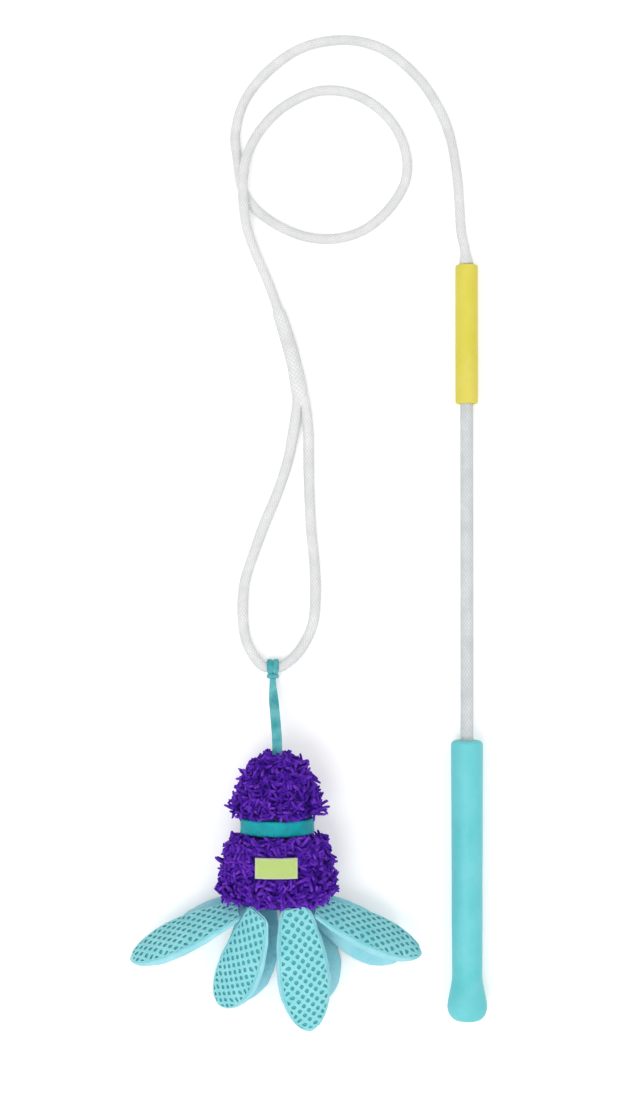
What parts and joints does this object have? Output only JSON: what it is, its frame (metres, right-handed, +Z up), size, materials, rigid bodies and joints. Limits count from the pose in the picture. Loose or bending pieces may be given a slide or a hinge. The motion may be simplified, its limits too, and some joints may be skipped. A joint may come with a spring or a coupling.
{
  "type": "dog teaser wand",
  "caption": "Dog teaser wand: gripped pole, white braided rope ending in an eye, and a purple stuffed toy with turquoise netted petals on a ribbon.",
  "frame": {"origin": "on the floor below the middle of the wand's pole and toy, without its free rope", "axes": "+Z up from the floor that the wand lies on, +Y along the pole from its grip to its tip, +X from the toy to the pole"},
  "size_m": [0.239, 0.6702, 0.0607],
  "materials": {
    "core_plastic": "plain hard plastic",
    "crimp_metal": "bare pressed metal",
    "fibre_filling": "white fibre filling",
    "fibre_rod": "pale pultruded glass-fibre rod",
    "grip_rubber": "matte turquoise moulded rubber",
    "label_weave": "bare lime woven label",
    "petal_knit": "open turquoise knit",
    "petal_plush": "short turquoise plush",
    "purple_pile": "purple chenille noodle pile",
    "rope_braid": "off-white braided polyester",
    "satin_ribbon": "dark teal satin",
    "sleeve_rubber": "matte lime-yellow rubber",
    "squeaker_plastic": "soft blown plastic"
  },
  "bodies": {
    "pole": {"grip": "grip_rubber", "grip_core": "core_plastic", "core_rod": "fibre_rod", "rod_braid": "rope_braid", "tip_crimp": "crimp_metal", "tip_sleeve": "sleeve_rubber", "rope_neck": "rope_braid", "rope": "rope_braid", "rope_splice": "rope_braid", "rope_eye": "rope_braid"},
    "strap": {"strap_hitch": "satin_ribbon", "strap_ribbon": "satin_ribbon"},
    "toy": {"head_cover": "purple_pile", "head_stuffing": "fibre_filling", "neck_band": "satin_ribbon", "body_cover": "purple_pile", "body_stuffing": "fibre_filling", "base_panel": "purple_pile", "squeaker_bulb": "squeaker_plastic", "squeaker_reed": "core_plastic", "label_patch": "label_weave"},
    "petal_front_1": {"petal_front_1": "petal_plush", "petal_front_1_net": "petal_knit"},
    "petal_front_2": {"petal_front_2": "petal_plush", "petal_front_2_net": "petal_knit"},
    "petal_front_3": {"petal_front_3": "petal_plush", "petal_front_3_net": "petal_knit"},
    "petal_front_4": {"petal_front_4": "petal_plush", "petal_front_4_net": "petal_knit"},
    "petal_rear_1": {"petal_rear_1": "petal_plush", "petal_rear_1_net": "petal_knit"},
    "petal_rear_2": {"petal_rear_2": "petal_plush", "petal_rear_2_net": "petal_knit"},
    "petal_rear_3": {"petal_rear_3": "petal_plush", "petal_rear_3_net": "petal_knit"},
    "petal_rear_4": {"petal_rear_4": "petal_plush", "petal_rear_4_net": "petal_knit"}
  },
  "joints": [
    {"name": "strap_swing", "type": "hinge", "parent": "pole", "child": "strap", "pos_m": [-0.0244, -0.0124, 0.0053], "axis": [-1, 0, 0], "range_deg": [0, 140]},
    {"name": "toy_twist", "type": "hinge", "parent": "strap", "child": "toy", "pos_m": [-0.021, -0.0687, 0.03], "axis": [0, 1, 0], "range_deg": [-180, 180]},
    {"name": "petal_front_1_flap", "type": "hinge", "parent": "toy", "child": "petal_front_1", "pos_m": [-0.04882, -0.17095, 0.03885], "axis": [-0.1093, 0.5688, -0.8152], "range_deg": [0, 60]},
    {"name": "petal_front_2_flap", "type": "hinge", "parent": "toy", "child": "petal_front_2", "pos_m": [-0.03508, -0.17222, 0.05077], "axis": [-0.685, 0.5434, -0.4853], "range_deg": [0, 30]},
    {"name": "petal_front_3_flap", "type": "hinge", "parent": "toy", "child": "petal_front_3", "pos_m": [-0.00523, -0.16984, 0.04882], "axis": [-0.9672, -0.1558, 0.2008], "range_deg": [0, 75]},
    {"name": "petal_front_4_flap", "type": "hinge", "parent": "toy", "child": "petal_front_4", "pos_m": [0.00668, -0.17127, 0.03978], "axis": [-0.0728, -0.611, 0.7883], "range_deg": [0, 60]},
    {"name": "petal_rear_1_flap", "type": "hinge", "parent": "toy", "child": "petal_rear_1", "pos_m": [-0.0449, -0.16971, 0.01687], "axis": [0.2119, -0.525, 0.8243], "range_deg": [0, 20]},
    {"name": "petal_rear_2_flap", "type": "hinge", "parent": "toy", "child": "petal_rear_2", "pos_m": [-0.03501, -0.16877, 0.01055], "axis": [0.9236, -0.1758, 0.3408], "range_deg": [0, 20]},
    {"name": "petal_rear_3_flap", "type": "hinge", "parent": "toy", "child": "petal_rear_3", "pos_m": [-0.00821, -0.16934, 0.0098], "axis": [0.9323, 0.2966, -0.207], "range_deg": [0, 20]},
    {"name": "petal_rear_4_flap", "type": "hinge", "parent": "toy", "child": "petal_rear_4", "pos_m": [0.00559, -0.16989, 0.0208], "axis": [0.6018, 0.7986, 0], "range_deg": [0, 15]}
  ]
}
